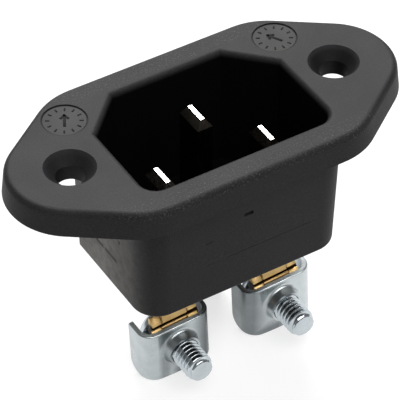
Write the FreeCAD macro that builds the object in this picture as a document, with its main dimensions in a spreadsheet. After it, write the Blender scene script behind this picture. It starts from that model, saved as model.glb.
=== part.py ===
import FreeCAD, Part
import math
import os
import Sketcher
from FreeCAD import Placement, Rotation, Vector

# C14 panel inlet socket with saddle-clamp screw terminals. Millimetres.
# Origin: midway between the two mounting holes, on the rear face of the flange.
# +X runs along the two holes, +Y towards the earth pin, +Z out of the front face.

doc = FreeCAD.newDocument("panel_inlet_socket")
sheet = doc.addObject("Spreadsheet::Sheet", "dims")

VALUES = [
    ("hole_pitch", 35.2, "distance between the mounting holes"),
    ("hole_dia", 3.4, "mounting hole, clearance for a 3 mm screw"),
    ("sink_dia", 6.1, "countersink at the front face"),
    ("sink_angle", 90.0, "countersink angle, degrees"),
    ("flange_thick", 3.3, "flange thickness"),
    ("flange_width", 24.6, "flange size across Y at its rear face"),
    ("flange_draft", 6.2, "draft of the flange edge, degrees"),
    ("flange_round", 0.8, "round on the front edge of the flange"),
    ("nose_radius", 7.9, "radius of the two rounded ends"),
    ("nose_centre", 17.42, "distance of each end's centre from the middle"),
    ("corner_radius", 8.6, "radius of the four shoulders"),
    ("corner_centre", 11.06, "distance of each shoulder's centre from the middle"),
    ("wall_side", 1.56, "shroud wall at both ends of the opening, at the flange"),
    ("wall_front", 1.42, "shroud wall towards -Y, at the flange"),
    ("wall_back", 1.52, "shroud wall towards +Y, at the flange"),
    ("shroud_depth", 15.9, "depth of the shroud behind the flange"),
    ("shroud_draft", 1.35, "draft of the shroud, degrees"),
    ("shroud_corner", 3.3, "round on the two front corners of the shroud"),
    ("shroud_chamfer", 3.5, "flat on the two back corners of the shroud"),
    ("shroud_edge", 0.5, "round on the rear edge of the shroud"),
    ("cavity_width", 24.5, "connector opening along X"),
    ("cavity_depth_y", 16.6, "connector opening along Y"),
    ("cavity_chamfer", 4.95, "coded corners of the opening"),
    ("cavity_corner", 2.0, "round on the two plain corners of the opening"),
    ("cavity_depth", 16.5, "depth of the opening from the front face"),
    ("cavity_edge", 0.7, "round on the mouth of the opening"),
    ("disc_dia", 5.3, "plain round field beside each coded corner"),
    ("disc_depth", 0.12, "depth of the round fields"),
    ("disc_x", 14.15, "position of the round fields along X"),
    ("disc_y", 7.32, "position of the round fields along Y"),
    ("notch_width", 1.2, "small notch in the front wall, along X"),
    ("notch_tall", 0.5, "small notch, along Z"),
    ("notch_deep", 0.5, "small notch, depth"),
    ("notch_z", -4.7, "height of the small notch"),
    ("pin_pitch", 14.0, "distance between the two line pins"),
    ("pin_row", 2.14, "line pins sit this far towards -Y"),
    ("earth_step", 4.0, "earth pin sits this far behind the line pins"),
    ("pin_wide", 4.0, "pin blade along Y"),
    ("pin_thick", 2.0, "pin blade along X"),
    ("pin_tip_wide", 2.8, "flat end of the blade along Y"),
    ("pin_tip_thick", 0.5, "flat end of the blade along X"),
    ("pin_tip_tall", 1.05, "height of the tapered end"),
    ("line_tip_z", -1.24, "end of the line pins"),
    ("earth_tip_z", 2.03, "end of the earth pin"),
    ("tenon_dia", 1.5, "tenon under each pin"),
    ("tenon_shift", 0.74, "tenon set off the blade's middle"),
    ("tenon_head_dia", 2.2, "peened end of the tenon"),
    ("tenon_head_tall", 0.5, "height of the peened end"),
    ("strip_thick", 1.0, "terminal strip sheet"),
    ("strip_neck", 3.3, "width of the strip's neck and foot"),
    ("strip_wide", 6.2, "width of the strip's plate"),
    ("strip_face", 2.66, "front face of the plate from the pin's middle"),
    ("strip_joggle", 0.6, "step between the neck and the plate"),
    ("strip_foot", 1.75, "foot length behind the pin's middle"),
    ("strip_top_z", -21.9, "top of the plate"),
    ("strip_low_z", -28.5, "bottom of the plate"),
    ("relief_wide", 0.2, "relief cut at each side of the neck"),
    ("relief_deep", 0.9, "depth of the relief cuts"),
    ("wire_slot", 0.2, "closed wire slot between strip and wire plate"),
    ("wire_plate_thick", 0.45, "wire plate sheet"),
    ("wire_plate_wide", 6.2, "width of the wire plate"),
    ("wire_plate_top_z", -21.9, "top of the wire plate"),
    ("wire_plate_low_z", -28.5, "bottom of the wire plate"),
    ("plate_bore", 4.1, "screw hole in strip and wire plate"),
    ("clamp_sheet", 0.6, "saddle clamp sheet"),
    ("clamp_wide", 9.4, "outside width of the saddle clamp"),
    ("clamp_deep", 3.7, "outside depth of the saddle clamp"),
    ("clamp_bend", 1.85, "outside bend radius of the saddle clamp"),
    ("clamp_roll", 0.25, "rolled outer edge at the top of the saddle clamp"),
    ("clamp_top_z", -22.0, "top edge of the saddle clamp"),
    ("clamp_low_z", -29.1, "bottom edge of the side walls"),
    ("clamp_lip", 0.5, "bulge of the front wall's bottom edge under the collar"),
    ("clamp_ear_round", 1.4, "round on the rear lower corners of the side walls"),
    ("collar_dia", 4.9, "foot of the tapped collar"),
    ("collar_tall", 1.25, "height of the tapped collar"),
    ("collar_taper", 13.0, "taper of the tapped collar, degrees"),
    ("collar_flare", 0.5, "hollow round at the foot of the collar"),
    ("clamp_lean", 2.6, "lean of the two line clamps about their screws, degrees"),
    ("clamp_play", 0.12, "line clamps sit this far outward in their bores"),
    ("screw_z", -25.25, "height of the clamp screw axis"),
    ("screw_shank", 3.5, "outside size of the threaded shank"),
    ("thread_clearance", 0.05, "radial running clearance in the collar"),
    ("screw_reach", 7.3, "length under the head"),
    ("screw_tip_round", 0.35, "chamfer at the end of the shank"),
    ("head_dia", 6.9, "pan head"),
    ("head_tall", 2.0, "height of the pan head"),
    ("head_round", 0.8, "round on the pan head"),
    ("slot_wide", 1.0, "driver slot width"),
    ("slot_deep", 1.1, "driver slot depth"),
    ("earth_set_back", 1.25, "extra distance from the earth pin to its plate"),
]
sheet.set("A1", "name")
sheet.set("B1", "value")
sheet.set("C1", "meaning")
size = {}
for row, (alias, value, meaning) in enumerate(VALUES, start=2):
    sheet.set("A%d" % row, alias)
    sheet.set("B%d" % row, str(value))
    sheet.set("C%d" % row, meaning)
    sheet.setAlias("B%d" % row, alias)
    size[alias] = value
doc.recompute()


def plane(body, role):
    """The body's own origin plane."""
    for item in body.Origin.OriginFeatures:
        if item.Role == role:
            return item
    raise ValueError("no plane " + role)


def new_body(name):
    body = doc.addObject("PartDesign::Body", name)
    body.Label = name
    return body


def new_sketch(body, name, role, height=None):
    """A sketch on one of the body's planes, lifted by an expression."""
    sketch = body.newObject("Sketcher::SketchObject", name)
    sketch.AttachmentSupport = [(plane(body, role), "")]
    sketch.MapMode = "FlatFace"
    if height is not None:
        sketch.setExpression("AttachmentOffset.Base.z", height)
    return sketch


def bind(sketch, kind, args, expression):
    """A driving dimension of the sketch, bound to the sheet."""
    index = sketch.addConstraint(Sketcher.Constraint(kind, *args))
    sketch.setExpression("Constraints[%d]" % index, expression)
    return index


def polygon(sketch, points):
    """Closed polyline; returns the indices of its lines."""
    first = sketch.GeometryCount
    count = len(points)
    for k in range(count):
        start = Vector(points[k][0], points[k][1], 0)
        end = Vector(points[(k + 1) % count][0], points[(k + 1) % count][1], 0)
        sketch.addGeometry(Part.LineSegment(start, end), False)
    for k in range(count):
        here = first + k
        after = first + (k + 1) % count
        sketch.addConstraint(Sketcher.Constraint("Coincident", here, 2, after, 1))
    return [first + k for k in range(count)]


def square_up(sketch, lines, points):
    """Make every level line horizontal and every upright line vertical."""
    count = len(points)
    for k in range(count):
        x0, y0 = points[k]
        x1, y1 = points[(k + 1) % count]
        if abs(y1 - y0) < 1e-9:
            sketch.addConstraint(Sketcher.Constraint("Horizontal", lines[k]))
        elif abs(x1 - x0) < 1e-9:
            sketch.addConstraint(Sketcher.Constraint("Vertical", lines[k]))


def value_of(expression):
    """A number from a sheet expression."""
    names = dict(size)
    total = 0.0
    for term in expression.replace("-", "+-").split("+"):
        term = term.strip()
        if not term:
            continue
        sign = 1.0
        if term.startswith("-"):
            sign = -1.0
            term = term[1:].strip()
        product = 1.0
        parts = term.split("*")
        for part in parts:
            pieces = part.split("/")
            number = names.get(pieces[0].strip())
            number = float(pieces[0]) if number is None else number
            for divisor in pieces[1:]:
                number = number / float(divisor)
            product = product * number
        total = total + sign * product
    return total


def sheet_terms(expression):
    """The same expression with every alias read from the sheet object."""
    out = []
    word = ""
    for char in expression + " ":
        if char.isalnum() or char == "_":
            word = word + char
            continue
        if word:
            out.append("dims." + word if word in size else word)
            word = ""
        out.append(char)
    return "".join(out).strip()


def rectangle(sketch, left, right, low, high):
    """Upright rectangle whose four sides follow sheet expressions."""
    x0, x1, y0, y1 = [value_of(item) for item in (left, right, low, high)]
    points = [(x0, y0), (x1, y0), (x1, y1), (x0, y1)]
    lines = polygon(sketch, points)
    square_up(sketch, lines, points)
    bind_point(sketch, lines[0], 1, left, low)
    bind_point(sketch, lines[2], 1, right, high)
    return lines


def bind_point(sketch, geometry, vertex, across, up):
    """Fix a point's two coordinates to sheet expressions."""
    for kind, expression in (("DistanceX", across), ("DistanceY", up)):
        if expression is None:
            continue
        number = value_of(expression)
        if abs(number) < 1e-9:
            axis = -2 if kind == "DistanceX" else -1
            sketch.addConstraint(Sketcher.Constraint("PointOnObject", geometry, vertex, axis))
        else:
            bind(sketch, kind, (-1, 1, geometry, vertex, number), sheet_terms(expression))


def circle(sketch, across, up, diameter):
    """Circle whose centre and diameter follow sheet expressions."""
    centre = Vector(value_of(across), value_of(up), 0)
    ring = Part.Circle(centre, Vector(0, 0, 1), value_of(diameter) / 2.0)
    index = sketch.addGeometry(ring, False)
    bind_point(sketch, index, 3, across, up)
    bind(sketch, "Diameter", (index, value_of(diameter)), sheet_terms(diameter))
    return index


def pad(body, sketch, name, length, reverse=False, middle=False, taper=None):
    feature = body.newObject("PartDesign::Pad", name)
    feature.Profile = sketch
    feature.setExpression("Length", sheet_terms(length))
    feature.Reversed = reverse
    feature.Midplane = middle
    if taper is not None:
        feature.setExpression("TaperAngle", sheet_terms(taper))
    sketch.Visibility = False
    doc.recompute()
    return feature


def pocket(body, sketch, name, length, reverse=False, middle=False):
    """Cut; the volume has to drop."""
    before = body.Shape.Volume
    feature = body.newObject("PartDesign::Pocket", name)
    feature.Profile = sketch
    if length is None:
        feature.Type = "ThroughAll"
    else:
        feature.setExpression("Length", sheet_terms(length))
    feature.Reversed = reverse
    feature.Midplane = middle
    doc.recompute()
    if not body.Shape.Volume < before - 1e-6:
        raise RuntimeError(name + " cuts nothing")
    return feature


def edge_names(feature, test):
    """Names of the edges whose end points and middle satisfy the test."""
    names = []
    for index, edge in enumerate(feature.Shape.Edges, start=1):
        ends = [vertex.Point for vertex in edge.Vertexes]
        low, high = edge.ParameterRange
        middle = edge.valueAt((low + high) / 2.0)
        if test(ends, middle):
            names.append("Edge%d" % index)
    return names


def dress(body, kind, name, base, edges, expression):
    """Fillet or chamfer on the named edges."""
    if not edges:
        raise RuntimeError(name + " found no edge")
    feature = body.newObject("PartDesign::" + kind, name)
    feature.Base = (base, edges)
    prop = "Radius" if kind == "Fillet" else "Size"
    feature.setExpression(prop, sheet_terms(expression))
    doc.recompute()
    return feature


def upright(ends, tolerance=1e-4):
    """True for an edge parallel to Z."""
    if len(ends) < 2:
        return False
    first, last = ends[0], ends[-1]
    level = abs(first.x - last.x) < tolerance and abs(first.y - last.y) < tolerance
    return level and abs(first.z - last.z) > 1e-3


def at_height(ends, z, tolerance=1e-4):
    return all(abs(point.z - z) < tolerance for point in ends)


# ---------------------------------------------------------------- housing
# One moulding: flange with two countersunk holes, shroud, and floor.
housing = new_body("housing")

outline = new_sketch(housing, "flange_outline", "XY_Plane")
nose_r = size["nose_radius"]
nose_x = size["nose_centre"]
corner_r = size["corner_radius"]
corner_x = size["corner_centre"]
corner_y = size["flange_width"] / 2.0 - corner_r
# Angle of the outward normal on the sloped sides.
gap_x = nose_x - corner_x
gap_y = corner_y
gap = math.hypot(gap_x, gap_y)
lean = math.atan2(-gap_y, gap_x)
slope = lean + math.acos((corner_r - nose_r) / gap)
arcs = []
SHOULDERS = [
    (nose_x, 0.0, nose_r, -slope, slope),
    (corner_x, corner_y, corner_r, slope, math.pi / 2.0),
    (-corner_x, corner_y, corner_r, math.pi / 2.0, math.pi - slope),
    (-nose_x, 0.0, nose_r, math.pi - slope, math.pi + slope),
    (-corner_x, -corner_y, corner_r, math.pi + slope, 1.5 * math.pi),
    (corner_x, -corner_y, corner_r, 1.5 * math.pi, 2.0 * math.pi - slope),
]
for centre_x, centre_y, radius, start, stop in SHOULDERS:
    ring = Part.Circle(Vector(centre_x, centre_y, 0), Vector(0, 0, 1), radius)
    arcs.append(outline.addGeometry(Part.ArcOfCircle(ring, start, stop), False))
sides = []
for k in range(6):
    first = outline.getPoint(arcs[k], 2)
    last = outline.getPoint(arcs[(k + 1) % 6], 1)
    sides.append(outline.addGeometry(Part.LineSegment(first, last), False))
for k in range(6):
    outline.addConstraint(Sketcher.Constraint("Tangent", arcs[k], 2, sides[k], 1))
    outline.addConstraint(Sketcher.Constraint("Tangent", sides[k], 2, arcs[(k + 1) % 6], 1))
for k, (across, up, radius) in enumerate([
        ("nose_centre", "0", "nose_radius"),
        ("corner_centre", "flange_width/2-corner_radius", "corner_radius"),
        ("-corner_centre", "flange_width/2-corner_radius", "corner_radius"),
        ("-nose_centre", "0", "nose_radius"),
        ("-corner_centre", "corner_radius-flange_width/2", "corner_radius"),
        ("corner_centre", "corner_radius-flange_width/2", "corner_radius")]):
    bind_point(outline, arcs[k], 3, across, up)
    bind(outline, "Radius", (arcs[k], value_of(radius)), sheet_terms(radius))
pad(housing, outline, "flange", "flange_thick", taper="-flange_draft")

shroud_sketch = new_sketch(housing, "shroud_outline", "XY_Plane")
half = size["cavity_width"] / 2.0 + size["wall_side"]
cut = size["shroud_chamfer"]
back = size["cavity_depth_y"] / 2.0 + size["wall_back"]
front = -size["cavity_depth_y"] / 2.0 - size["wall_front"]
points = [(-half, front), (half, front), (half, back - cut),
          (half - cut, back), (cut - half, back), (-half, back - cut)]
lines = polygon(shroud_sketch, points)
square_up(shroud_sketch, lines, points)
SIDE = "cavity_width/2+wall_side"
BACK = "cavity_depth_y/2+wall_back"
bind_point(shroud_sketch, lines[0], 1, "-cavity_width/2-wall_side", "-cavity_depth_y/2-wall_front")
bind_point(shroud_sketch, lines[2], 1, SIDE, BACK + "-shroud_chamfer")
bind_point(shroud_sketch, lines[3], 1, SIDE + "-shroud_chamfer", BACK)
bind_point(shroud_sketch, lines[4], 1, "shroud_chamfer-cavity_width/2-wall_side", None)
bind_point(shroud_sketch, lines[5], 1, None, BACK + "-shroud_chamfer")
shroud = pad(housing, shroud_sketch, "shroud", "shroud_depth", reverse=True,
             taper="-shroud_draft")

floor_z = -size["shroud_depth"]
corners = edge_names(shroud, lambda ends, middle: len(ends) > 1 and middle.y < front + 0.6
                     and abs(abs(ends[0].z - ends[-1].z) + floor_z) < 0.01)
shroud = dress(housing, "Fillet", "shroud_corners", shroud, corners, "shroud_corner")
rim = edge_names(shroud, lambda ends, middle: at_height(ends, floor_z))
shroud = dress(housing, "Fillet", "shroud_rear_edge", shroud, rim, "shroud_edge")

cavity_sketch = new_sketch(housing, "opening_outline", "XY_Plane", "dims.flange_thick")
half = size["cavity_width"] / 2.0
deep = size["cavity_depth_y"] / 2.0
cut = size["cavity_chamfer"]
points = [(-half, -deep), (half, -deep), (half, deep - cut),
          (half - cut, deep), (cut - half, deep), (-half, deep - cut)]
lines = polygon(cavity_sketch, points)
square_up(cavity_sketch, lines, points)
bind_point(cavity_sketch, lines[0], 1, "-cavity_width/2", "-cavity_depth_y/2")
bind_point(cavity_sketch, lines[2], 1, "cavity_width/2", "cavity_depth_y/2-cavity_chamfer")
bind_point(cavity_sketch, lines[3], 1, "cavity_width/2-cavity_chamfer", "cavity_depth_y/2")
bind_point(cavity_sketch, lines[4], 1, "cavity_chamfer-cavity_width/2", None)
bind_point(cavity_sketch, lines[5], 1, None, "cavity_depth_y/2-cavity_chamfer")
cavity = pocket(housing, cavity_sketch, "opening", "cavity_depth")
plain = edge_names(cavity, lambda ends, middle: upright(ends)
                   and abs(abs(middle.x) - half) < 0.01 and abs(middle.y + deep) < 0.01)
cavity = dress(housing, "Fillet", "opening_corners", cavity, plain, "cavity_corner")

hole_sketch = new_sketch(housing, "mounting_hole_centres", "XY_Plane", "dims.flange_thick")
circle(hole_sketch, "hole_pitch/2", "0", "hole_dia")
circle(hole_sketch, "-hole_pitch/2", "0", "hole_dia")
doc.recompute()
before = housing.Shape.Volume
holes = housing.newObject("PartDesign::Hole", "mounting_holes")
holes.Profile = hole_sketch
doc.recompute()
holes.Threaded = False
holes.DepthType = "ThroughAll"
holes.HoleCutType = "Countersink"
holes.setExpression("Diameter", "dims.hole_dia")
holes.setExpression("HoleCutDiameter", "dims.sink_dia")
holes.setExpression("HoleCutCountersinkAngle", "dims.sink_angle")
doc.recompute()
if not housing.Shape.Volume < before - 1.0:
    raise RuntimeError("mounting holes cut nothing")

front_z = size["flange_thick"]
rims = edge_names(holes, lambda ends, middle: at_height(ends, front_z)
                  and abs(abs(middle.x) - size["hole_pitch"] / 2.0) > 3.2)
mouth = [name for name in rims
         if abs(holes.Shape.getElement(name).CenterOfMass.x) < half + 0.01
         and abs(holes.Shape.getElement(name).CenterOfMass.y) < deep + 0.01]
outer = [name for name in rims if name not in mouth]
face = dress(housing, "Fillet", "flange_front_edge", holes, outer, "flange_round")
rims = edge_names(face, lambda ends, middle: at_height(ends, front_z)
                  and abs(middle.x) < half + 0.01 and abs(middle.y) < deep + 0.01)
face = dress(housing, "Fillet", "opening_mouth", face, rims, "cavity_edge")

field_sketch = new_sketch(housing, "round_fields", "XY_Plane", "dims.flange_thick")
circle(field_sketch, "disc_x", "disc_y", "disc_dia")
circle(field_sketch, "-disc_x", "disc_y", "disc_dia")
pocket(housing, field_sketch, "round_field_recess", "disc_depth")

notch_sketch = new_sketch(housing, "front_notch", "XZ_Plane",
                          "dims.cavity_depth_y / 2 + dims.wall_front")
rectangle(notch_sketch, "-notch_width/2", "notch_width/2",
          "notch_z-notch_tall/2", "notch_z+notch_tall/2")
pocket(housing, notch_sketch, "front_notch_recess", "notch_deep")

seat_sketch = new_sketch(housing, "pin_seats", "XY_Plane", "-dims.shroud_depth")
for middle_x, middle_y in (("-pin_pitch/2", "-pin_row"), ("pin_pitch/2", "-pin_row"),
                           ("0", "earth_step-pin_row")):
    rectangle(seat_sketch, middle_x + "-pin_thick/2", middle_x + "+pin_thick/2",
              middle_y + "-pin_wide/2", middle_y + "+pin_wide/2")
pocket(housing, seat_sketch, "pin_seat_slots",
       "shroud_depth+flange_thick-cavity_depth", reverse=True)


# ---------------------------------------------------------------- poles
# Every pole is drawn about its pin's middle and faces -Y, then put in place.
def make_pin(name, tip):
    """Blade with a tapered end and a peened tenon under the floor."""
    body = new_body(name)
    base = new_sketch(body, name + "_section", "XY_Plane", "-dims.shroud_depth")
    rectangle(base, "-pin_thick/2", "pin_thick/2", "-pin_wide/2", "pin_wide/2")
    pad(body, base, name + "_blade", tip + "-pin_tip_tall+shroud_depth")
    shoulder = new_sketch(body, name + "_taper_foot", "XY_Plane",
                          "dims.%s - dims.pin_tip_tall" % tip)
    rectangle(shoulder, "-pin_thick/2", "pin_thick/2", "-pin_wide/2", "pin_wide/2")
    point = new_sketch(body, name + "_taper_end", "XY_Plane", "dims." + tip)
    rectangle(point, "-pin_tip_thick/2", "pin_tip_thick/2",
              "-pin_tip_wide/2", "pin_tip_wide/2")
    doc.recompute()
    taper = body.newObject("PartDesign::AdditiveLoft", name + "_taper")
    taper.Profile = shoulder
    taper.Sections = [point]
    taper.Ruled = True
    doc.recompute()
    stem = new_sketch(body, name + "_tenon_section", "XY_Plane", "-dims.shroud_depth")
    circle(stem, "0", "tenon_shift", "tenon_dia")
    pad(body, stem, name + "_tenon", "strip_thick", reverse=True)
    end = new_sketch(body, name + "_tenon_end_section", "XY_Plane",
                     "-dims.shroud_depth - dims.strip_thick")
    circle(end, "0", "tenon_shift", "tenon_head_dia")
    pad(body, end, name + "_tenon_end", "tenon_head_tall", reverse=True)
    return body


def make_strip(name, reach):
    """Terminal strip: foot under the floor, neck, joggle, and plate."""
    body = new_body(name)
    profile = new_sketch(body, name + "_side_profile", "YZ_Plane")
    thick = "strip_thick"
    face = "strip_face+" + reach
    outer = "strip_face+" + reach + "-strip_joggle"
    far = value_of(outer)
    near = far - value_of(thick)
    plate = value_of(face)
    foot = value_of("strip_foot")
    top = value_of("-shroud_depth")
    under = top - value_of(thick)
    high = value_of("strip_top_z") + 1.2
    low = value_of("strip_top_z") + 0.1
    end = value_of("strip_top_z") - 1.5
    points = [(foot, top), (-far, top), (-far, high), (-plate, low), (-plate, end),
              (value_of(thick) - plate, end), (value_of(thick) - plate, low),
              (-near, high), (-near, under), (foot, under)]
    lines = polygon(profile, points)
    square_up(profile, lines, points)
    bind_point(profile, lines[0], 1, "strip_foot", "-shroud_depth")
    bind_point(profile, lines[2], 1, "strip_joggle-strip_face-" + reach, "strip_top_z+1.2")
    bind_point(profile, lines[3], 1, "-strip_face-" + reach, "strip_top_z+0.1")
    bind_point(profile, lines[4], 1, None, "strip_top_z-1.5")
    bind_point(profile, lines[6], 1, "strip_thick-strip_face-" + reach, "strip_top_z+0.1")
    bind_point(profile, lines[7], 1, "strip_thick+strip_joggle-strip_face-" + reach,
               "strip_top_z+1.2")
    bind_point(profile, lines[8], 1, None, "-shroud_depth-strip_thick")
    folded = pad(body, profile, name + "_folded", "strip_neck", middle=True)

    def bend(ends, middle):
        across = abs(ends[0].x - ends[-1].x) > 1.0
        return across and at_height(ends, top) and abs(middle.y + far) < 0.01

    folded = dress(body, "Fillet", name + "_outer_bend", folded,
                   edge_names(folded, bend), "strip_thick*1.2")

    def joggle(ends, middle):
        across = abs(ends[0].x - ends[-1].x) > 1.0
        return across and (at_height(ends, high) or at_height(ends, low))

    folded = dress(body, "Fillet", name + "_joggle_rounds", folded,
                   edge_names(folded, joggle), "strip_joggle")
    plate_sketch = new_sketch(body, name + "_plate_outline", "XZ_Plane",
                              sheet_terms("strip_face+" + reach))
    rectangle(plate_sketch, "-strip_wide/2", "strip_wide/2", "strip_low_z", "strip_top_z")
    flat = pad(body, plate_sketch, name + "_plate", "strip_thick", reverse=True)
    low_corners = edge_names(flat, lambda ends, middle: len(ends) > 1
                             and abs(ends[0].y - ends[-1].y) > 0.9
                             and abs(middle.z - value_of("strip_low_z")) < 0.01)
    dress(body, "Fillet", name + "_plate_corners", flat, low_corners, "strip_thick*0.8")
    bore = new_sketch(body, name + "_screw_hole", "XZ_Plane",
                      sheet_terms("strip_face+" + reach))
    circle(bore, "0", "screw_z", "plate_bore")
    pocket(body, bore, name + "_screw_bore", "strip_thick")
    relief = new_sketch(body, name + "_relief_cuts", "XZ_Plane",
                        sheet_terms("strip_face+" + reach))
    rectangle(relief, "strip_neck/2", "strip_neck/2+relief_wide",
              "strip_top_z-relief_deep", "strip_top_z+0.1")
    rectangle(relief, "-strip_neck/2-relief_wide", "-strip_neck/2",
              "strip_top_z-relief_deep", "strip_top_z+0.1")
    pocket(body, relief, name + "_reliefs", "strip_thick")
    tenon = new_sketch(body, name + "_tenon_hole", "XY_Plane", "-dims.shroud_depth")
    circle(tenon, "0", "tenon_shift", "tenon_dia")
    pocket(body, tenon, name + "_tenon_bore", "strip_thick")
    return body


def make_wire_plate(name, reach):
    """Flat plate inside the saddle clamp, pressed on the wire."""
    body = new_body(name)
    lift = sheet_terms("strip_face+wire_slot+wire_plate_thick+" + reach)
    outline = new_sketch(body, name + "_outline", "XZ_Plane", lift)
    rectangle(outline, "-wire_plate_wide/2", "wire_plate_wide/2",
              "wire_plate_low_z", "wire_plate_top_z")
    flat = pad(body, outline, name + "_sheet", "wire_plate_thick", reverse=True)
    front = -value_of("strip_face+wire_slot+wire_plate_thick+" + reach)
    sides = edge_names(flat, lambda ends, middle: upright(ends) and abs(middle.y - front) < 0.01)
    flat = dress(body, "Chamfer", name + "_front_edges", flat, sides, "wire_plate_thick*0.55")
    bore = new_sketch(body, name + "_screw_hole", "XZ_Plane", lift)
    circle(bore, "0", "screw_z", "plate_bore")
    pocket(body, bore, name + "_screw_bore", "wire_plate_thick")
    nicks = new_sketch(body, name + "_nicks", "XZ_Plane", lift)
    rectangle(nicks, "strip_neck/2", "strip_neck/2+relief_wide",
              "wire_plate_top_z-relief_wide", "wire_plate_top_z+0.1")
    rectangle(nicks, "-strip_neck/2-relief_wide", "-strip_neck/2",
              "wire_plate_top_z-relief_wide", "wire_plate_top_z+0.1")
    pocket(body, nicks, name + "_edge_nicks", "wire_plate_thick")
    return body


def make_saddle(name, reach):
    """Sheet saddle: front wall with a tapped collar and two side walls."""
    body = new_body(name)
    section = new_sketch(body, name + "_section", "XY_Plane", "dims.clamp_low_z - dims.clamp_lip")
    wall = "strip_face+wire_slot+wire_plate_thick+clamp_sheet+" + reach
    front = -value_of(wall)
    rear = front + size["clamp_deep"]
    half_wide = size["clamp_wide"] / 2.0
    sheet_t = size["clamp_sheet"]
    minus = "-strip_face-wire_slot-wire_plate_thick-clamp_sheet-" + reach
    points = [(-half_wide, front), (half_wide, front), (half_wide, rear),
              (half_wide - sheet_t, rear), (half_wide - sheet_t, front + sheet_t),
              (sheet_t - half_wide, front + sheet_t), (sheet_t - half_wide, rear),
              (-half_wide, rear)]
    lines = polygon(section, points)
    square_up(section, lines, points)
    bind_point(section, lines[0], 1, "-clamp_wide/2", minus)
    bind_point(section, lines[2], 1, "clamp_wide/2", minus + "+clamp_deep")
    bind_point(section, lines[4], 1, "clamp_wide/2-clamp_sheet", minus + "+clamp_sheet")
    bind_point(section, lines[5], 1, "clamp_sheet-clamp_wide/2", None)
    bind_point(section, lines[6], 1, None, minus + "+clamp_deep")
    channel = pad(body, section, name + "_channel", "clamp_top_z-clamp_low_z+clamp_lip")
    outside = edge_names(channel, lambda ends, middle: upright(ends)
                         and abs(middle.y - front) < 0.01)
    channel = dress(body, "Fillet", name + "_outer_bends", channel, outside, "clamp_bend")
    inside = edge_names(channel, lambda ends, middle: upright(ends)
                        and abs(middle.y - front - sheet_t) < 0.01
                        and abs(abs(middle.x) - half_wide + sheet_t) < 0.01)
    channel = dress(body, "Fillet", name + "_inner_bends", channel, inside,
                    "clamp_bend-clamp_sheet")
    foot = new_sketch(body, name + "_foot_curve", "XZ_Plane")
    low = size["clamp_low_z"]
    deep = low - size["clamp_lip"] - 1.0
    left = Vector(-half_wide, low, 0)
    right = Vector(half_wide, low, 0)
    sag = Part.Arc(left, Vector(0, low - size["clamp_lip"], 0), right)
    arc = foot.addGeometry(sag, False)
    down = foot.addGeometry(Part.LineSegment(right, Vector(half_wide, deep, 0)), False)
    base = foot.addGeometry(Part.LineSegment(Vector(half_wide, deep, 0),
                                             Vector(-half_wide, deep, 0)), False)
    rise = foot.addGeometry(Part.LineSegment(Vector(-half_wide, deep, 0), left), False)
    ends = [(arc, foot.getPoint(arc, 1)), (arc, foot.getPoint(arc, 2))]
    starts_right = ends[0][1].x > 0
    foot.addConstraint(Sketcher.Constraint("Coincident", arc, 1 if starts_right else 2, down, 1))
    foot.addConstraint(Sketcher.Constraint("Coincident", down, 2, base, 1))
    foot.addConstraint(Sketcher.Constraint("Coincident", base, 2, rise, 1))
    foot.addConstraint(Sketcher.Constraint("Coincident", rise, 2, arc, 2 if starts_right else 1))
    foot.addConstraint(Sketcher.Constraint("Vertical", down))
    foot.addConstraint(Sketcher.Constraint("Horizontal", base))
    foot.addConstraint(Sketcher.Constraint("Vertical", rise))
    bind_point(foot, down, 1, "clamp_wide/2", "clamp_low_z")
    bind_point(foot, rise, 2, "-clamp_wide/2", "clamp_low_z")
    bind_point(foot, base, 1, None, "clamp_low_z-clamp_lip-1")
    radius = (half_wide ** 2 + size["clamp_lip"] ** 2) / (2.0 * size["clamp_lip"])
    bind(foot, "Radius", (arc, radius),
         "(dims.clamp_wide ^ 2 / 4 + dims.clamp_lip ^ 2) / (2 * dims.clamp_lip)")
    channel = pocket(body, foot, name + "_curved_foot", None, middle=True)
    ears = edge_names(channel, lambda ends, middle: len(ends) > 1
                      and abs(ends[0].x - ends[-1].x) > 0.5
                      and abs(middle.y - rear) < 0.01
                      and middle.z < low + 0.05)
    channel = dress(body, "Fillet", name + "_ear_rounds", channel, ears, "clamp_ear_round")
    bend = size["clamp_bend"]

    def outer_top(ends, middle):
        if not at_height(ends, size["clamp_top_z"]):
            return False
        across = abs(middle.x) - half_wide + bend
        along = front + bend - middle.y
        on_bend = across > 0 and along > 0 and abs(math.hypot(across, along) - bend) < 0.05
        return on_bend or abs(across - bend) < 0.01 or abs(along - bend) < 0.01

    channel = dress(body, "Fillet", name + "_rolled_edge", channel,
                    edge_names(channel, outer_top), "clamp_roll")
    ring = new_sketch(body, name + "_collar_section", "XZ_Plane",
                      sheet_terms(wall + "-clamp_sheet/2"))
    circle(ring, "0", "screw_z", "collar_dia")
    collar = pad(body, ring, name + "_collar", "collar_tall+clamp_sheet/2", taper="-collar_taper")
    half_sheet = size["clamp_sheet"] / 2.0
    foot_r = size["collar_dia"] / 2.0 - half_sheet * math.tan(math.radians(size["collar_taper"]))
    seam = edge_names(collar, lambda ends, middle: abs(middle.y - front) < 0.01
                      and abs(math.hypot(middle.x, middle.z - size["screw_z"]) - foot_r) < 0.05)
    dress(body, "Fillet", name + "_collar_flare", collar, seam, "collar_flare")
    bore = new_sketch(body, name + "_collar_hole", "XZ_Plane",
                      sheet_terms(wall + "+collar_tall"))
    circle(bore, "0", "screw_z", "screw_shank+thread_clearance*2")
    pocket(body, bore, name + "_collar_bore", "collar_tall+clamp_sheet")
    return body


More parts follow.
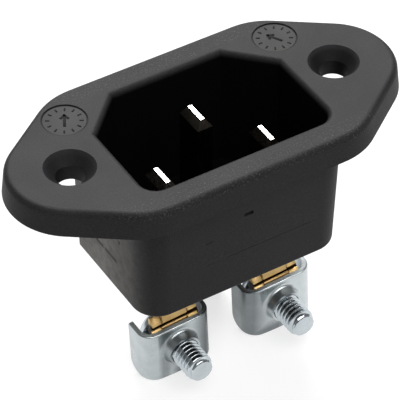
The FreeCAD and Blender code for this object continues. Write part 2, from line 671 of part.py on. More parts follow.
def make_screw(name, reach):
    """Pan-head clamp screw, head behind the strip, end towards -Y."""
    body = new_body(name)
    seat = sheet_terms("strip_face-strip_thick+" + reach)
    shank_sketch = new_sketch(body, name + "_shank_section", "XZ_Plane", seat)
    circle(shank_sketch, "0", "screw_z", "screw_shank")
    shank = pad(body, shank_sketch, name + "_shank", "screw_reach")
    tip_y = -(value_of("strip_face-strip_thick+" + reach) + size["screw_reach"])
    tip = edge_names(shank, lambda ends, middle: abs(middle.y - tip_y) < 0.01)
    dress(body, "Chamfer", name + "_tip_chamfer", shank, tip, "screw_tip_round")
    head_sketch = new_sketch(body, name + "_head_section", "XZ_Plane", seat)
    circle(head_sketch, "0", "screw_z", "head_dia")
    head = pad(body, head_sketch, name + "_head", "head_tall", reverse=True)
    crown_y = -(value_of("strip_face-strip_thick+" + reach) - size["head_tall"])
    crown = edge_names(head, lambda ends, middle: abs(middle.y - crown_y) < 0.01)
    dress(body, "Fillet", name + "_head_round", head, crown, "head_round")
    slot = new_sketch(body, name + "_driver_slot_outline", "XZ_Plane",
                      sheet_terms("strip_face-strip_thick-head_tall+" + reach))
    rectangle(slot, "-head_dia/2", "head_dia/2",
              "screw_z-slot_wide/2", "screw_z+slot_wide/2")
    pocket(body, slot, name + "_driver_slot", "slot_deep", reverse=True)
    return body


def put(body, across, along, turned, lean):
    """Place a pole's piece; the earth pole is turned to face +Y.

    A leaning piece is turned about its screw, top towards -X.
    """
    if turned:
        turn = Rotation(Vector(0, 0, 1), 180.0)
    else:
        turn = Rotation(Vector(0, 1, 0), -size["clamp_lean"] if lean else 0.0)
    body.Placement = Placement(Vector(value_of(across), value_of(along), 0), turn)
    shift = "+dims.screw_z*sin(dims.clamp_lean)" if lean else ""
    body.setExpression("Placement.Base.x", sheet_terms(across) + shift)
    body.setExpression("Placement.Base.y", sheet_terms(along))
    if lean:
        body.setExpression("Placement.Base.z", "dims.screw_z*(1-cos(dims.clamp_lean))")


POLES = [
    ("left", "-pin_pitch/2", "-clamp_play", "-pin_row", False, "line_tip_z", "0"),
    ("right", "pin_pitch/2", "+clamp_play", "-pin_row", False, "line_tip_z", "0"),
    ("earth", "0", "", "earth_step-pin_row", True, "earth_tip_z", "earth_set_back"),
]
bodies = [housing]
for side, across, play, along, turned, tip, reach in POLES:
    fixed = [make_pin("pin_" + side, tip), make_strip("terminal_strip_" + side, reach)]
    leaning = [make_wire_plate("wire_plate_" + side, reach),
               make_saddle("saddle_clamp_" + side, reach)]
    screw = make_screw("clamp_screw_" + side, reach)
    for piece in fixed:
        put(piece, across, along, turned, False)
    for piece in leaning:
        put(piece, across + play, along, turned, not turned)
    put(screw, across + play, along, turned, False)
    bodies.extend(fixed + leaning + [screw])
doc.recompute()

for item in doc.Objects:
    if "Invalid" in item.State or "Error" in item.State:
        raise RuntimeError("failed object: %s %s" % (item.Name, item.State))
for body in bodies:
    if body.Shape.isNull() or not body.Shape.isValid() or len(body.Shape.Solids) != 1:
        raise RuntimeError("bad shape: " + body.Label)

os.makedirs("parts", exist_ok=True)
for body in bodies:
    body.Shape.exportStep("parts/%s.step" % body.Label)
    box = body.Shape.BoundBox
    print("%-24s %9.3f mm3  x %.2f %.2f  y %.2f %.2f  z %.2f %.2f" % (
        body.Label, body.Shape.Volume, box.XMin, box.XMax, box.YMin, box.YMax,
        box.ZMin, box.ZMax))
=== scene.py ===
import math
import bmesh
import bpy
from mathutils import Matrix, Vector


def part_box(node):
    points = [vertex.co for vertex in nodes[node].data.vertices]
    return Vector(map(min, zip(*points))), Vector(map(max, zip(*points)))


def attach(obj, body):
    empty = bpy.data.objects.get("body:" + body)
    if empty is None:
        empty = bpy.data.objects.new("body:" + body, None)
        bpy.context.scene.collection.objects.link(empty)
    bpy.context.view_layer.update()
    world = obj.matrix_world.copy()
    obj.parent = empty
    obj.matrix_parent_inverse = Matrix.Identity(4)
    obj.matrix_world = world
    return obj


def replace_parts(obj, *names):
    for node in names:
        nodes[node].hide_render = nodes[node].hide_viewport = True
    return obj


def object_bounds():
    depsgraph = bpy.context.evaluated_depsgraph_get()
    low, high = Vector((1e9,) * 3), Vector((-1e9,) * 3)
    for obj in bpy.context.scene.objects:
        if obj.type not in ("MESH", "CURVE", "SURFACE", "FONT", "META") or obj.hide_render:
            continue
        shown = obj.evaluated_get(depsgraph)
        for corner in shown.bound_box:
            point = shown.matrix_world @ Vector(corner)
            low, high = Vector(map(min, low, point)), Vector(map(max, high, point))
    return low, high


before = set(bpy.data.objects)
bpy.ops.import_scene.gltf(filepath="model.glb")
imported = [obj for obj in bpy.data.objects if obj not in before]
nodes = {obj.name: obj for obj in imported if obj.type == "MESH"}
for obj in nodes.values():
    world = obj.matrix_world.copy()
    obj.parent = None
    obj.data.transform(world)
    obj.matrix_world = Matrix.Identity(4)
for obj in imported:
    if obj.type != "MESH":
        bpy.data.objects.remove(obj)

# C14 panel inlet socket. Metres, in the frame of the CAD model: +X along the
# mounting holes, +Y towards the earth pin, +Z out of the connector opening.
MM = 0.001
cad_low, cad_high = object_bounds()
scene = bpy.context.scene

# places on the housing, in millimetres
HOLE_X, COUNTERSINK_R = 17.6, 3.1
FIELD_X, FIELD_Y, FIELD_R = 14.15, 7.32, 2.62
FIELD_FLOOR = 3.175
CAVITY_X, CAVITY_Y, CAVITY_CORNER = 12.6, 8.7, 19.7
POLE_X = 7.0


# ------------------------------------------------------------ node helpers
class Tree:
    """Short calls for building one material's nodes, in object coordinates."""

    def __init__(self, name):
        self.mat = bpy.data.materials.new(name)
        self.mat.use_nodes = True
        self.nodes = self.mat.node_tree.nodes
        self.links = self.mat.node_tree.links
        self.nodes.clear()
        out = self.nodes.new("ShaderNodeOutputMaterial")
        self.shader = self.nodes.new("ShaderNodeBsdfPrincipled")
        self.links.new(self.shader.outputs[0], out.inputs["Surface"])
        coord = self.nodes.new("ShaderNodeTexCoord")
        self.place = coord.outputs["Object"]

    def join(self, value, socket):
        if isinstance(value, bpy.types.NodeSocket):
            self.links.new(value, socket)
        else:
            socket.default_value = value

    def stretch(self, scale):
        node = self.nodes.new("ShaderNodeMapping")
        self.links.new(self.place, node.inputs["Vector"])
        node.inputs["Scale"].default_value = scale
        return node.outputs[0]

    def noise(self, scale, detail=3.0, rough=0.5, vector=None):
        node = self.nodes.new("ShaderNodeTexNoise")
        self.links.new(vector or self.place, node.inputs["Vector"])
        node.inputs["Scale"].default_value = scale
        node.inputs["Detail"].default_value = detail
        node.inputs["Roughness"].default_value = rough
        return node.outputs[0]

    def math(self, kind, a, b=0.0):
        node = self.nodes.new("ShaderNodeMath")
        node.operation = kind
        self.join(a, node.inputs[0])
        self.join(b, node.inputs[1])
        return node.outputs[0]

    def span(self, value, low, high, to_low=0.0, to_high=1.0):
        node = self.nodes.new("ShaderNodeMapRange")
        self.join(value, node.inputs["Value"])
        node.inputs["From Min"].default_value = low
        node.inputs["From Max"].default_value = high
        node.inputs["To Min"].default_value = to_low
        node.inputs["To Max"].default_value = to_high
        return node.outputs[0]

    def band(self, value, middle, half, soft):
        """1 within half of the middle, falling to 0 over soft."""
        away = self.math("ABSOLUTE", self.math("SUBTRACT", value, middle))
        return self.span(away, half, half + soft, 1.0, 0.0)

    def mix(self, factor, a, b):
        node = self.nodes.new("ShaderNodeMix")
        node.data_type = "RGBA"
        self.join(factor, node.inputs[0])
        for value, socket in ((a, node.inputs[6]), (b, node.inputs[7])):
            if isinstance(value, tuple) and len(value) == 3:
                value = (*value, 1.0)
            self.join(value, socket)
        return node.outputs[2]

    def axis(self, index):
        node = self.nodes.new("ShaderNodeSeparateXYZ")
        self.links.new(self.place, node.inputs[0])
        return node.outputs[index]

    def facing(self, index):
        """One part of the surface normal, in the part's own frame."""
        node = self.nodes.new("ShaderNodeNewGeometry")
        split = self.nodes.new("ShaderNodeSeparateXYZ")
        self.links.new(node.outputs["Normal"], split.inputs[0])
        return split.outputs[index]

    def bump(self, height, distance, strength=1.0, under=None):
        node = self.nodes.new("ShaderNodeBump")
        node.inputs["Strength"].default_value = strength
        node.inputs["Distance"].default_value = distance
        self.join(height, node.inputs["Height"])
        if under is not None:
            self.links.new(under, node.inputs["Normal"])
        return node.outputs[0]

    def set(self, **sockets):
        for name, value in sockets.items():
            self.join(value, self.shader.inputs[name.replace("_", " ")])
        return self.mat


def moulded_plastic():
    """Black moulded plastic: fine spark-eroded grain, rubbed edges, mould lines."""
    t = Tree("housing_plastic")
    x, y, z = (t.math("MULTIPLY", t.axis(i), 1000.0) for i in range(3))
    side, depth = t.math("ABSOLUTE", x), t.math("ABSOLUTE", y)
    grain = t.noise(5200.0, 2.0, 0.6)
    fleck = t.noise(7000.0, 2.0, 0.7)
    cloud = t.noise(170.0, 4.0, 0.55)
    colour = t.mix(t.span(cloud, 0.3, 0.7), (0.014, 0.0135, 0.015), (0.019, 0.018, 0.020))
    # painted sheen: faces turned up are painted paler, as painted light on the top
    colour = t.mix(t.span(t.facing(2), 0.85, 0.99, 0.0, 0.14), colour, (0.120, 0.118, 0.116))
    colour = t.mix(t.span(grain, 0.45, 0.75, 0.0, 0.25), colour, (0.065, 0.062, 0.060))
    colour = t.mix(t.span(fleck, 0.68, 0.78, 0.0, 0.40), colour, (0.13, 0.12, 0.11))

    # edges rubbed paler in specks: the rim of the flange's top face
    rim = t.math("MULTIPLY", t.band(z, 2.95, 0.35, 0.15), t.span(depth, 8.9, 9.6))
    rubbed = t.math("MULTIPLY", rim, t.span(t.noise(5200.0, 3.0, 0.7), 0.56, 0.72, 0.0, 0.45))
    colour = t.mix(rubbed, colour, (0.16, 0.145, 0.13))

    # painted light: the shroud's two ends are painted paler than its front, most towards the back, in blotches
    painted_end_light = t.math("MULTIPLY", t.span(t.math("ABSOLUTE", t.facing(0)), 0.6, 0.97), t.span(z, 0.0, -0.3))
    painted_end_light = t.math("MULTIPLY", painted_end_light, t.span(y, -9.0, 0.5))
    painted_end_light = t.math("MULTIPLY", painted_end_light, t.span(t.noise(900.0, 4.0, 0.6), 0.3, 0.6, 0.55, 1.0))
    colour = t.mix(painted_end_light, colour, (0.245, 0.235, 0.220))

    # painted shade: the countersinks and the deep recess are painted near black, the right countersink darker
    # than the left
    hole = t.math("SUBTRACT", side, HOLE_X)
    hole = t.math("SQRT", t.math("ADD", t.math("MULTIPLY", hole, hole), t.math("MULTIPLY", y, y)))
    sunk = t.math("MULTIPLY", t.span(hole, COUNTERSINK_R + 0.2, COUNTERSINK_R), t.span(z, 3.15, 2.8))
    colour = t.mix(t.math("MULTIPLY", sunk, t.span(x, -1.0, 1.0, 0.45, 0.85)), colour, (0.005, 0.005, 0.0055))

    inside = t.math("MULTIPLY", t.band(x, 0.0, CAVITY_X, 0.2), t.band(y, 0.0, CAVITY_Y, 0.2))
    corner = t.span(t.math("ADD", side, depth), CAVITY_CORNER + 0.4, CAVITY_CORNER)
    inside = t.math("MULTIPLY", inside, corner)
    inside = t.math("MULTIPLY", inside, t.span(z, 3.15, 2.5))
    colour = t.mix(inside, colour, (0.0035, 0.0034, 0.0038))

    # mould lines and slits, on the front wall and on the left wall
    front = t.span(y, -8.9, -9.2)
    left = t.span(x, -12.9, -13.2)
    broken = t.span(t.noise(420.0, 2.0, 0.5), 0.38, 0.52, 0.25, 1.0)
    seam = t.math("MULTIPLY", t.band(z, -10.2, 0.07, 0.05), t.band(x, 1.5, 6.8, 0.6))
    seam = t.math("MULTIPLY", t.math("MULTIPLY", seam, broken), front)
    nick = t.math("MULTIPLY", t.band(z, -6.7, 0.10, 0.06), t.band(x, -5.35, 0.45, 0.2))
    nick = t.math("MULTIPLY", nick, front)
    slit = t.math("MULTIPLY", t.band(z, -11.0, 0.20, 0.12), t.band(y, -0.5, 2.1, 0.5))
    slit = t.math("MULTIPLY", slit, t.math("SUBTRACT", 1.0, t.band(y, -0.05, 0.10, 0.2)))
    spot = t.math("MULTIPLY", t.band(z, -7.3, 0.22, 0.10), t.band(y, -3.7, 0.10, 0.1))
    slit = t.math("MULTIPLY", t.math("MAXIMUM", slit, spot), left)
    marks = t.math("MAXIMUM", t.math("MAXIMUM", seam, nick), slit)

    # round insert fields: a little paler, with a fine groove around them whose dark ring is painted shade
    far = t.math("SUBTRACT", side, FIELD_X)
    near = t.math("SUBTRACT", y, FIELD_Y)
    radius = t.math("SQRT", t.math("ADD", t.math("MULTIPLY", far, far), t.math("MULTIPLY", near, near)))
    top = t.span(z, 2.9, 3.1)
    field = t.math("MULTIPLY", t.span(radius, FIELD_R + 0.04, FIELD_R - 0.02), top)
    groove = t.math("MULTIPLY", t.band(radius, FIELD_R, 0.05, 0.05), top)
    colour = t.mix(t.math("MULTIPLY", field, 0.55), colour, (0.060, 0.058, 0.056))
    marks = t.math("MAXIMUM", marks, t.math("MULTIPLY", groove, 0.8))
    # the marks are painted near black; in the slits and the groove this is painted shade
    colour = t.mix(t.math("MULTIPLY", marks, 0.85), colour, (0.006, 0.006, 0.007))

    rough = t.mix(inside, t.span(cloud, 0.3, 0.7, 0.50, 0.60), (0.9, 0.9, 0.9))
    relief = t.math("ADD", t.math("MULTIPLY", fleck, 0.6), grain)
    normal = t.bump(relief, 0.00005, 0.55)
    normal = t.bump(t.math("SUBTRACT", 1.0, marks), 0.0001, 0.7, normal)
    return t.set(Base_Color=colour, Roughness=rough, Normal=normal,
                 Specular_IOR_Level=t.span(inside, 0.0, 1.0, 0.11, 0.01))


def plated_steel(name, tint, low, high, painted_shade_and_dull_edges=0.0, along=(900.0, 900.0, 90.0)):
    """Blue zinc plating with faint rolling lines and a cloudy gloss.

    With a shade level above 0 it is painted darker in front, as painted shade and painted
    reflection: towards the middle of the socket, under the collars and at the left clamp's outer
    bend; it is painted a little paler right of the middle, as painted light; and its sheared top
    edges are dull.
    """
    t = Tree(name)
    lines = t.noise(1.0, 4.0, 0.6, t.stretch(along))
    cloud = t.noise(520.0, 4.0, 0.6)
    colour = t.mix(t.span(cloud, 0.3, 0.7), tint, tuple(c * 0.86 for c in tint))
    side = t.math("ABSOLUTE", t.axis(0))
    # painted shade and painted reflection: darker towards the middle, under the collars and at the left
    # clamp's outer bend, less right of the middle, and only in front
    painted_shade_mask = t.span(side, 0.0034, 0.0054, painted_shade_and_dull_edges, 0.0)
    under = t.span(t.axis(2), -0.0276, -0.0290, 0.0, painted_shade_and_dull_edges * 0.95)
    under = t.math("MULTIPLY", under, t.span(side, 0.0084, 0.0068))
    bend = t.math("MULTIPLY", t.band(t.axis(0), -0.0091, 0.0003, 0.0007), painted_shade_and_dull_edges * 0.50)
    painted_shade_mask = t.math("MAXIMUM", t.math("MAXIMUM", painted_shade_mask, under), bend)
    painted_shade_mask = t.math("MULTIPLY", painted_shade_mask, t.span(t.axis(0), -0.001, 0.001, 1.0, 0.75))
    painted_shade_mask = t.math("MULTIPLY", painted_shade_mask, t.span(t.axis(1), 0.001, 0.0))
    # painted light: pieces right of the middle are painted a little paler
    colour = t.mix(t.span(t.axis(0), 0.002, 0.003, 0.0, painted_shade_and_dull_edges * 0.08), colour, (0.86, 0.90, 0.92))
    colour = t.mix(painted_shade_mask, colour, (0.045, 0.055, 0.062))

    # sheared top edges of the sheet
    sheared = t.math("MULTIPLY", t.span(t.facing(2), 0.93, 0.97), t.span(t.axis(2), -0.0232, -0.0229))
    sheared = t.math("MULTIPLY", sheared, min(painted_shade_and_dull_edges, 1.0))
    rough = t.math("ADD", t.span(cloud, 0.3, 0.7, low, high), t.span(lines, 0.3, 0.7, -0.04, 0.04))
    rough = t.math("ADD", rough, t.math("MULTIPLY", sheared, 0.25))
    metal = t.math("SUBTRACT", 1.0, t.math("MULTIPLY", sheared, 0.75))
    normal = t.bump(lines, 0.000006, 0.5, t.bump(cloud, 0.00003, 0.35))
    return t.set(Base_Color=colour, Metallic=metal, Roughness=rough, Normal=normal)


JOINT_SLOPE = 0.045  # rise of the dark joint line along +X


def stamped_brass(name, bright, dull):
    """Stamped brass sheet with drawn lines and darker patches."""
    t = Tree(name)
    lines = t.noise(1.0, 3.0, 0.6, t.stretch((300.0, 4500.0, 4500.0)))
    cloud = t.noise(700.0, 4.0, 0.6)
    colour = t.mix(t.span(cloud, 0.35, 0.7), bright, dull)

    # painted shade: the joint between the strip and the plate clamped against it is painted near black
    x = t.axis(0)
    away = t.math("SUBTRACT", x, t.math("MULTIPLY", t.math("SIGN", x), POLE_X * MM))
    height = t.math("SUBTRACT", t.axis(2), t.math("MULTIPLY", away, JOINT_SLOPE))
    joint = t.math("MULTIPLY", t.span(height, -0.02177, -0.02182), t.span(t.axis(1), -0.00499, -0.00497))
    colour = t.mix(joint, colour, (0.012, 0.006, 0.002))
    rough = t.span(lines, 0.3, 0.7, 0.30, 0.48)
    normal = t.bump(lines, 0.00002, 0.6, t.bump(cloud, 0.00004, 0.4))
    return t.set(Base_Color=colour, Metallic=1.0, Roughness=rough, Normal=normal)


def nickel():
    """Nickel plated blade: polished flat end; sides painted near black as painted shade, paler on the left pin
    as painted light.
    """
    t = Tree("pin_plating")
    lines = t.noise(1.0, 3.0, 0.6, t.stretch((4000.0, 4000.0, 260.0)))
    cloud = t.noise(600.0, 3.0, 0.5)
    end = t.span(t.facing(2), 0.93, 0.97)
    # painted shade: the sides are painted near black
    sides = t.mix(t.span(cloud, 0.35, 0.7), (0.085, 0.075, 0.062), (0.055, 0.048, 0.040))
    # painted light: the left pin's sides are painted paler
    sides = t.mix(t.span(t.axis(0), -0.003, -0.004), sides, (0.30, 0.27, 0.23))
    colour = t.mix(end, sides, (0.95, 0.93, 0.90))
    rough = t.span(lines, 0.3, 0.7, 0.22, 0.36)
    normal = t.bump(lines, 0.000008, 0.5)
    return t.set(Base_Color=colour, Metallic=1.0, Roughness=rough, Normal=normal)


PLASTIC = moulded_plastic()
# the clamps: painted shade and painted reflection at 0.90, with dull sheared edges
ZINC = plated_steel("zinc_steel", (0.52, 0.565, 0.575), 0.26, 0.36, 0.90)
SCREW = plated_steel("screw_steel", (0.56, 0.61, 0.64), 0.12, 0.22, 0.0, (700.0, 2600.0, 700.0))
BRASS = stamped_brass("terminal_brass", (0.80, 0.56, 0.25), (0.62, 0.41, 0.16))
# painted shade: a darker copy of the brass, for the middle lengths of the strip and plate edges
SHADED_BRASS = stamped_brass("shaded_brass", (0.66, 0.45, 0.20), (0.50, 0.33, 0.13))
NICKEL = nickel()

for name, node in nodes.items():
    kind = PLASTIC
    if name.startswith("pin_"):
        kind = NICKEL
    elif name.startswith(("terminal_strip", "wire_plate")):
        kind = BRASS
    elif name.startswith("saddle_clamp"):
        kind = ZINC
    elif name.startswith("clamp_screw"):
        kind = SCREW
    node.data.materials.clear()
    node.data.materials.append(kind)


# ------------------------------------------------------------ clamp screws
PITCH = 0.6 * MM
CREST = 1.745 * MM  # outer radius of the thread
ROOT = 1.39 * MM
REACH = 7.3 * MM  # shank length below the head
HEAD_R, HEAD_TALL, HEAD_ROUND = 3.45 * MM, 2.0 * MM, 0.8 * MM
SLOT_WIDE, SLOT_DEEP = 1.0 * MM, 1.1 * MM


def thread_radius(run, phase):
    """Radius of the rolled thread at a distance from the seat, phase 0 at the crest."""
    away = abs((phase + 0.5) % 1.0 - 0.5) * 2.0
    fall = min(max((away - 0.10) / 0.66, 0.0), 1.0)
    fall = fall * fall * (3.0 - 2.0 * fall) * 0.35 + fall * 0.65
    crest = min(CREST, ROOT + max(REACH - run - 0.12 * MM, 0.0) * 0.62,
                ROOT + max(run - 0.35 * MM, 0.0) * 0.6)
    return min(ROOT + (CREST - ROOT) * (1.0 - fall), max(crest, ROOT))


def add_thread(mesh, start):
    """Shank along -Y with a right-hand thread, its crest at start for angle 0."""
    around, steps = 96, 14
    turns = int(REACH / PITCH) + 2
    columns = []
    for i in range(around):
        angle = 2.0 * math.pi * i / around
        column = []
        for k in range(-2 * steps, turns * steps + 1):
            run = min(max(PITCH * (k / steps + i / around), 0.0), REACH)
            r = thread_radius(run, run / PITCH - i / around - start)
            if run >= REACH:
                r = ROOT - 0.08 * MM
            column.append(mesh.verts.new((r * math.cos(angle), -run, r * math.sin(angle))))
        columns.append(column)
    rows = len(columns[0])
    for i in range(around):
        here, after = columns[i], columns[(i + 1) % around]
        shift = steps if i == around - 1 else 0
        for k in range(rows - 1 - shift):
            ring = (here[k], here[k + 1], after[k + 1 + shift], after[k + shift])
            if len({tuple(v.co) for v in ring}) > 2:
                mesh.faces.new(ring)
    bmesh.ops.remove_doubles(mesh, verts=mesh.verts, dist=2e-7)
    tip = [e for e in mesh.edges if e.is_boundary and all(v.co.y < -REACH * 0.99 for v in e.verts)]
    if tip:
        bmesh.ops.contextual_create(mesh, geom=tip)


def lathe(mesh, profile, around=96):
    """Closed turned solid about Y from (radius, y) points, both ends on the axis."""
    rings = []
    for radius, level in profile:
        if radius <= 0.0:
            rings.append([mesh.verts.new((0.0, level, 0.0))])
        else:
            rings.append([mesh.verts.new((radius * math.cos(2.0 * math.pi * i / around), level,
                                          radius * math.sin(2.0 * math.pi * i / around)))
                          for i in range(around)])
    for first, second in zip(rings, rings[1:]):
        for i in range(around):
            j = (i + 1) % around
            ring = [first[i % len(first)], first[j % len(first)],
                    second[j % len(second)], second[i % len(second)]]
            ring = list(dict.fromkeys(ring))
            mesh.faces.new(ring)


def to_object(mesh, name):
    bmesh.ops.recalc_face_normals(mesh, faces=mesh.faces)
    data = bpy.data.meshes.new(name)
    mesh.to_mesh(data)
    mesh.free()
    thing = bpy.data.objects.new(name, data)
    scene.collection.objects.link(thing)
    return thing


def bake(thing):
    """Apply the object's modifiers to its mesh."""
    graph = bpy.context.evaluated_depsgraph_get()
    data = bpy.data.meshes.new_from_object(thing.evaluated_get(graph))
    thing.modifiers.clear()
    thing.data = data


def block(name, size, place):
    mesh = bmesh.new()
    bmesh.ops.create_cube(mesh, size=1.0)
    bmesh.ops.scale(mesh, vec=size, verts=mesh.verts)
    bmesh.ops.translate(mesh, vec=place, verts=mesh.verts)
    return to_object(mesh, name)


def smooth(data, limit=40.0):
    """Smooth faces, with sharp edges where they meet above the limit."""
    mesh = bmesh.new()
    mesh.from_mesh(data)
    for face in mesh.faces:
        face.smooth = True
    for edge in mesh.edges:
        if len(edge.link_faces) == 2:
            edge.smooth = edge.calc_face_angle(0.0) < math.radians(limit)
    mesh.to_mesh(data)
    mesh.free()


def make_head(name):
    """Pan head above y=0, with a driver slot whose edges are broken."""
    mesh = bmesh.new()
    arc = [math.radians(90.0 * i / 10) for i in range(11)]
    profile = [(0.0, 0.0), (HEAD_R - 0.1 * MM, 0.0), (HEAD_R, 0.1 * MM)]
    profile += [(HEAD_R - HEAD_ROUND * (1.0 - math.cos(a)),
                 HEAD_TALL - HEAD_ROUND * (1.0 - math.sin(a))) for a in arc]
    profile += [(0.0, HEAD_TALL)]
    lathe(mesh, profile)
    head = to_object(mesh, name)
    tool = block(name + "_slot", (HEAD_R * 2.4, SLOT_DEEP * 2.0, SLOT_WIDE), (0.0, HEAD_TALL, 0.0))
    cut = head.modifiers.new("slot", "BOOLEAN")
    cut.object = tool
    cut.operation = "DIFFERENCE"
    cut.solver = "EXACT"
    edge = head.modifiers.new("edge", "BEVEL")
    edge.width = 0.07 * MM
    edge.segments = 2
    edge.limit_method = "ANGLE"
    edge.angle_limit = math.radians(50)
    bake(head)
    bpy.data.objects.remove(tool)
    return head


def make_screw(node, start, turned):
    """Threaded clamp screw in the place of its plain CAD solid."""
    low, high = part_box(node)
    low, high = Vector(low), Vector(high)
    seat = low.y + HEAD_TALL if turned else high.y - HEAD_TALL
    axis = Vector(((low.x + high.x) / 2.0, seat, (low.z + high.z) / 2.0))
    head = make_head("head")
    mesh = bmesh.new()
    mesh.from_mesh(head.data)
    bpy.data.objects.remove(head)
    add_thread(mesh, start)
    if turned:
        bmesh.ops.rotate(mesh, verts=mesh.verts, cent=(0, 0, 0), matrix=Matrix.Rotation(math.pi, 3, "Z"))
    bmesh.ops.translate(mesh, verts=mesh.verts, vec=axis)
    screw = to_object(mesh, node.replace("clamp_screw", "threaded_screw"))
    smooth(screw.data, 46.0)
    screw.data.materials.clear()
    screw.data.materials.append(SCREW)
    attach(screw, node.replace("clamp_screw_", "") + "_screw")
    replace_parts(screw, node)
    return screw


make_screw("clamp_screw_left", 0.76, False)
make_screw("clamp_screw_right", 0.53, False)
make_screw("clamp_screw_earth", 0.20, True)


# ------------------------------------------------------------ brass of the line terminals
def bar(mesh, section, start, end):
    """Prism with a (y, z) section, in millimetres, from x=start to x=end."""
    rings = [[mesh.verts.new((x * MM, y * MM, z * MM)) for y, z in section] for x in (start, end)]
    count = len(section)
    for i in range(count):
        j = (i + 1) % count
        mesh.faces.new((rings[0][i], rings[0][j], rings[1][j], rings[1][i]))
    mesh.faces.new(rings[0])
    mesh.faces.new(list(reversed(rings[1])))


def leaning(middle, lean):
    """Move to a place, tilted about the axis of the clamp screw there."""
    pivot = Matrix.Translation(Vector((0.0, 0.0, SCREW_Z)))
    return Matrix.Translation(middle) @ pivot @ Matrix.Rotation(lean, 4, "Y") @ pivot.inverted()


def cap(name, section, spans, middle, ride, lean, kind):
    """Worn top edge of a brass piece, in lengths parted by scored lines."""
    mesh = bmesh.new()
    for start, end in spans:
        bar(mesh, section, start, end)
    bmesh.ops.transform(mesh, matrix=leaning(middle, lean), verts=mesh.verts)
    piece = to_object(mesh, name)
    edge = piece.modifiers.new("edge", "BEVEL")
    edge.width = 0.05 * MM
    edge.segments = 2
    edge.limit_method = "ANGLE"
    bake(piece)
    smooth(piece.data, 35.0)
    piece.data.materials.clear()
    piece.data.materials.append(kind)
    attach(piece, ride)


SCREW_Z = -25.25 * MM
LEAN = math.radians(-2.6)
EDGE_LEAN = 1.5 * LEAN
OUTWARD = 0.12 * MM  # play of a line clamp in its bore
HOLE_R = 2.05 * MM

# sections as (y, z) and lengths as (from x, to x), in millimetres from the pole's middle
STRIP = ((-4.96, -22.60), (-4.96, -22.05), (-3.98, -21.05), (-3.82, -21.05), (-3.82, -22.60))
PLATE = ((-5.45, -22.60), (-5.45, -22.16), (-5.14, -21.86), (-5.00, -21.88), (-5.00, -22.60))
SCORED = ((-5.45, -22.60), (-5.45, -22.16), (-5.36, -22.08), (-5.32, -22.18), (-5.27, -21.99),
          (-5.14, -21.86), (-5.00, -21.88), (-5.00, -22.60))
BASE = ((-5.45, -28.40), (-5.45, -22.58), (-5.00, -22.58), (-5.00, -28.40))
ENDS = ((-3.10, -1.79), (1.79, 3.10))
CORE = ((-1.73, 1.73),)


def wire_plate_base(name, middle, ride, lean):
    """Lower part of a wire plate, with the hole its screw passes through."""
    mesh = bmesh.new()
    bar(mesh, BASE, -3.1, 3.1)
    piece = to_object(mesh, name)
    mesh = bmesh.new()
    bmesh.ops.create_cone(mesh, cap_ends=True, segments=64, radius1=HOLE_R, radius2=HOLE_R, depth=2.0 * MM,
                          matrix=Matrix.Translation((0.0, -5.2 * MM, SCREW_Z))
                          @ Matrix.Rotation(math.pi / 2.0, 4, "X"))
    tool = to_object(mesh, name + "_drill")
    cut = piece.modifiers.new("hole", "BOOLEAN")
    cut.object = tool
    cut.operation = "DIFFERENCE"
    cut.solver = "EXACT"
    bake(piece)
    bpy.data.objects.remove(tool)
    piece.data.transform(leaning(middle, lean))
    smooth(piece.data, 35.0)
    piece.data.materials.clear()
    piece.data.materials.append(BRASS)
    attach(piece, ride)
    return piece


for side, middle_x in (("left", -POLE_X * MM), ("right", POLE_X * MM)):
    here = Vector((middle_x, 0.0, 0.0))
    cap("strip_edge_" + side, STRIP, ENDS, here, "socket", 0.0, BRASS)
    cap("strip_edge_middle_" + side, STRIP, CORE, here, "socket", 0.0, SHADED_BRASS)
    out = here + Vector((math.copysign(OUTWARD, middle_x), 0.0, 0.0))
    cap("wire_plate_edge_" + side, PLATE, ENDS, out, side + "_clamp", EDGE_LEAN, BRASS)
    cap("wire_plate_edge_middle_" + side, SCORED, CORE, out, side + "_clamp", EDGE_LEAN, SHADED_BRASS)
    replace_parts(wire_plate_base("wire_plate_base_" + side, out, side + "_clamp", LEAN), "wire_plate_" + side)


# ------------------------------------------------------------ mould insert fields
MARK_TALL = 0.10 * MM
TICKS = 12


def insert_marks(name, middle, turn):
    """Raised marks of a plain moulding insert: ticks in a ring and an arrow."""
    mesh = bmesh.new()

    def rib(length, width, moves):
        """Low bar, moved out along X and then turned about Z, once for each move."""
        made = bmesh.ops.create_cube(mesh, size=1.0)["verts"]
        bmesh.ops.scale(mesh, vec=(length * MM, width * MM, MARK_TALL), verts=made)
        for outward, angle in moves:
            bmesh.ops.translate(mesh, vec=(outward * MM, 0.0, 0.0), verts=made)
            bmesh.ops.rotate(mesh, verts=made, cent=(0, 0, 0), matrix=Matrix.Rotation(angle, 3, "Z"))

    for i in range(TICKS):
        rib(0.50, 0.20, ((1.95, math.radians(360.0 / TICKS * i)),))
    rib(2.1, 0.34, ((0.0, turn),))
    for tilt in (2.5, -2.5):
        rib(0.9, 0.30, ((0.36, tilt), (0.95, turn)))
    bmesh.ops.translate(mesh, vec=(middle[0] * MM, middle[1] * MM, FIELD_FLOOR * MM), verts=mesh.verts)
    piece = to_object(mesh, name)
    edge = piece.modifiers.new("edge", "BEVEL")
    edge.width = 0.03 * MM
    edge.segments = 2
    bake(piece)
    smooth(piece.data, 35.0)
    piece.data.materials.clear()
    piece.data.materials.append(MARKS)
    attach(piece, "socket")


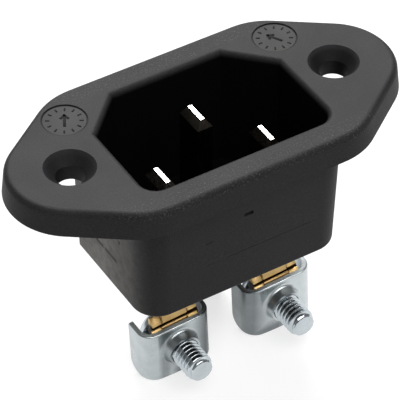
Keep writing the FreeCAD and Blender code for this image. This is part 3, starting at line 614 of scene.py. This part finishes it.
def marked_plastic():
    """The housing's plastic where a moulding insert left it smooth and dark."""
    t = Tree("insert_marks")
    cloud = t.noise(900.0, 3.0, 0.5)
    colour = t.mix(t.span(cloud, 0.3, 0.7), (0.0030, 0.0030, 0.0035), (0.006, 0.006, 0.006))
    t.shader.inputs["Specular IOR Level"].default_value = 0.08
    return t.set(Base_Color=colour, Roughness=t.span(cloud, 0.3, 0.7, 0.5, 0.6),
                 Normal=t.bump(t.noise(5200.0, 2.0, 0.6), 0.00003, 0.4))


MARKS = marked_plastic()
insert_marks("insert_marks_left", (-FIELD_X, FIELD_Y), math.radians(62.0))
insert_marks("insert_marks_right", (FIELD_X, FIELD_Y), math.radians(118.0))


# ------------------------------------------------------------ camera
AZ, EL = math.radians(-31.607), math.radians(42.495)
DISTANCE = 0.314
back = Vector((math.sin(AZ) * math.cos(EL), -math.cos(AZ) * math.cos(EL), math.sin(EL)))
right = (-back).cross(Vector((0, 0, 1))).normalized()
up = right.cross(-back)
camera = bpy.data.objects.new("camera", bpy.data.cameras.new("camera"))
scene.collection.objects.link(camera)
spot = back * DISTANCE - right * 0.517 * MM - up * 9.886 * MM + Vector((0, 0, 3.3 * MM))
turn = Matrix((right, up, back)).transposed().to_4x4()
camera.matrix_world = Matrix.Translation(spot) @ turn
camera.data.sensor_width = 36.0
camera.data.lens = 2763.0 / 400.0 * 36.0
camera.data.clip_start = 0.01
camera.data.clip_end = 10.0
scene.camera = camera


# ------------------------------------------------------------ room and light
def backdrop_rays(tree):
    """1 where the ray comes from the camera, a gloss or a clear material."""
    path = tree.nodes.new("ShaderNodeLightPath")
    value = path.outputs["Is Camera Ray"]
    for other in ("Is Glossy Ray", "Is Transmission Ray"):
        either = tree.nodes.new("ShaderNodeMath")
        either.operation = "MAXIMUM"
        tree.links.new(value, either.inputs[0])
        tree.links.new(path.outputs[other], either.inputs[1])
        value = either.outputs[0]
    return value


# bright at the horizon and greyer above, which gives the metal its contrast
world = bpy.data.worlds.new("studio")
scene.world = world
world.use_nodes = True
tree = world.node_tree
tree.nodes.clear()
air = tree.nodes.new("ShaderNodeBackground")
air.inputs["Color"].default_value = (1.0, 1.0, 1.0, 1.0)
way = tree.nodes.new("ShaderNodeTexCoord")
height = tree.nodes.new("ShaderNodeSeparateXYZ")
tree.links.new(way.outputs["Generated"], height.inputs[0])
fade = tree.nodes.new("ShaderNodeMapRange")
tree.links.new(height.outputs[2], fade.inputs["Value"])
for socket, value in (("From Min", 0.03), ("From Max", 0.16), ("To Min", 1.0), ("To Max", 0.25)):
    fade.inputs[socket].default_value = value
tree.links.new(fade.outputs[0], air.inputs["Strength"])
tree.links.new(air.outputs[0], tree.nodes.new("ShaderNodeOutputWorld").inputs[0])


def lamp(name, place, size, power):
    """Rectangular soft light aimed at the socket."""
    light = bpy.data.lights.new(name, "AREA")
    light.shape = "RECTANGLE"
    light.size, light.size_y = size
    light.energy = power
    thing = bpy.data.objects.new(name, light)
    scene.collection.objects.link(thing)
    place = Vector(place)
    aim = Vector((0, 0, -0.012)) - place
    thing.matrix_world = Matrix.Translation(place) @ aim.to_track_quat("-Z", "Y").to_matrix().to_4x4()
    return thing


lamp("back_light", (0.20, 0.45, 0.46), (0.40, 0.40), 5.4)
lamp("top_light", (-0.06, -0.32, 0.59), (0.56, 0.40), 2.3)
lamp("front_light", (0.27, -0.40, 0.51), (0.34, 0.30), 0.9)

floor_mesh = bpy.data.meshes.new("floor")
level = cad_low.z - 0.00002
reach = 1.5
floor_mesh.from_pydata([(-reach, -reach, level), (reach, -reach, level),
                        (reach, reach, level), (-reach, reach, level)], [], [(0, 1, 2, 3)])
floor = bpy.data.objects.new("floor", floor_mesh)
scene.collection.objects.link(floor)
sheet = bpy.data.materials.new("floor_paper")
sheet.use_nodes = True
tree = sheet.node_tree
tree.nodes.clear()
lit = tree.nodes.new("ShaderNodeBsdfDiffuse")
lit.inputs["Color"].default_value = (0.36, 0.36, 0.36, 1.0)
glow = tree.nodes.new("ShaderNodeEmission")
glow.inputs["Color"].default_value = (1.0, 1.0, 1.0, 1.0)
power = tree.nodes.new("ShaderNodeMath")
power.operation = "MULTIPLY"
tree.links.new(backdrop_rays(tree), power.inputs[0])
power.inputs[1].default_value = 0.70
tree.links.new(power.outputs[0], glow.inputs["Strength"])
both = tree.nodes.new("ShaderNodeAddShader")
tree.links.new(lit.outputs[0], both.inputs[0])
tree.links.new(glow.outputs[0], both.inputs[1])
tree.links.new(both.outputs[0], tree.nodes.new("ShaderNodeOutputMaterial").inputs["Surface"])
floor_mesh.materials.append(sheet)

scene.view_settings.view_transform = "Standard"
